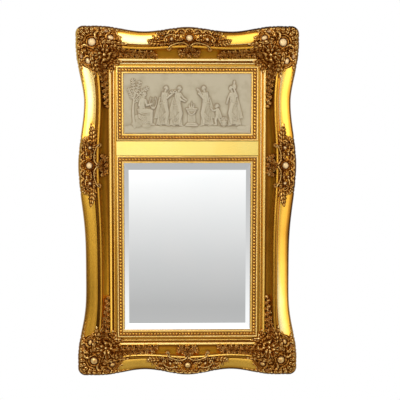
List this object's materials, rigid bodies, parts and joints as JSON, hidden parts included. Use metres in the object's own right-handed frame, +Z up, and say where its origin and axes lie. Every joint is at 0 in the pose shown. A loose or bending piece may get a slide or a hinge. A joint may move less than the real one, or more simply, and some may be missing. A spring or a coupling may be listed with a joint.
{
  "type": "wall mirror",
  "caption": "Gilded hanging wall mirror with a swept carved frame, a classical relief plaque above and a bevelled mirror plate below.",
  "frame": {"origin": "where the mirror hangs: on the flat back of the top rail, midway along it and midway up its flat", "axes": "+Z up, -Y towards the viewer, +Y into the wall, +X to the viewer's right"},
  "size_m": [0.6286, 0.0579, 0.994],
  "materials": {
    "gilding": "gilded wood and composition, browned in the hollows and rubbed bright on the highlights",
    "bright_gilding": "burnished pale gilding",
    "plaster": "matt cream plaster, tinted darker in the hollows",
    "silvering": "silvered plate with a bevelled border",
    "board": "plain brown hardboard"
  },
  "bodies": {
    "root": {"swept_frame": "gilding", "plaque_slip": "bright_gilding", "mirror_slip": "bright_gilding", "divider_rail": "bright_gilding", "relief_plaque": "plaster", "mirror_glass": "silvering", "backboard": "board"}
  },
  "joints": []
}
